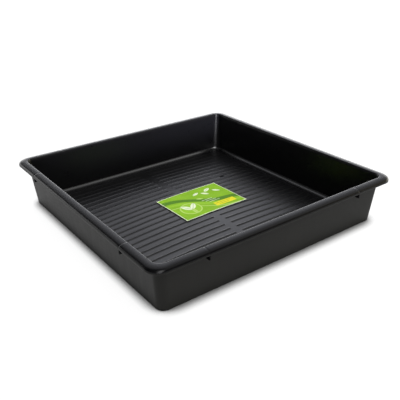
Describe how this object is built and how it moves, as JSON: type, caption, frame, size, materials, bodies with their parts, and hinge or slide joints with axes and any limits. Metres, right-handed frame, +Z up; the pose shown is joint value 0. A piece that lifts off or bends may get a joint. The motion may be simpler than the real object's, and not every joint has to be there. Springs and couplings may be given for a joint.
{
  "type": "plant tray",
  "caption": "Square black plastic plant tray with a rolled lip, tapered walls, a crowned floor with thin ribs, and a green label lying on the floor.",
  "frame": {"origin": "centre of the tray's footprint, on the ground plane under its foot", "axes": "+Z up; +X along the ribs of the floor; +Y across them; the label's long side lies along X, turned 1.7 degrees"},
  "size_m": [0.6, 0.6, 0.104],
  "materials": {
    "black_plastic": "black injection-moulded polypropylene, satin, with a semi-gloss floor",
    "printed_label": "coated card printed in leaf and lime greens, thin white border"
  },
  "bodies": {
    "root": {"tray": "black_plastic", "label": "printed_label"}
  },
  "joints": []
}
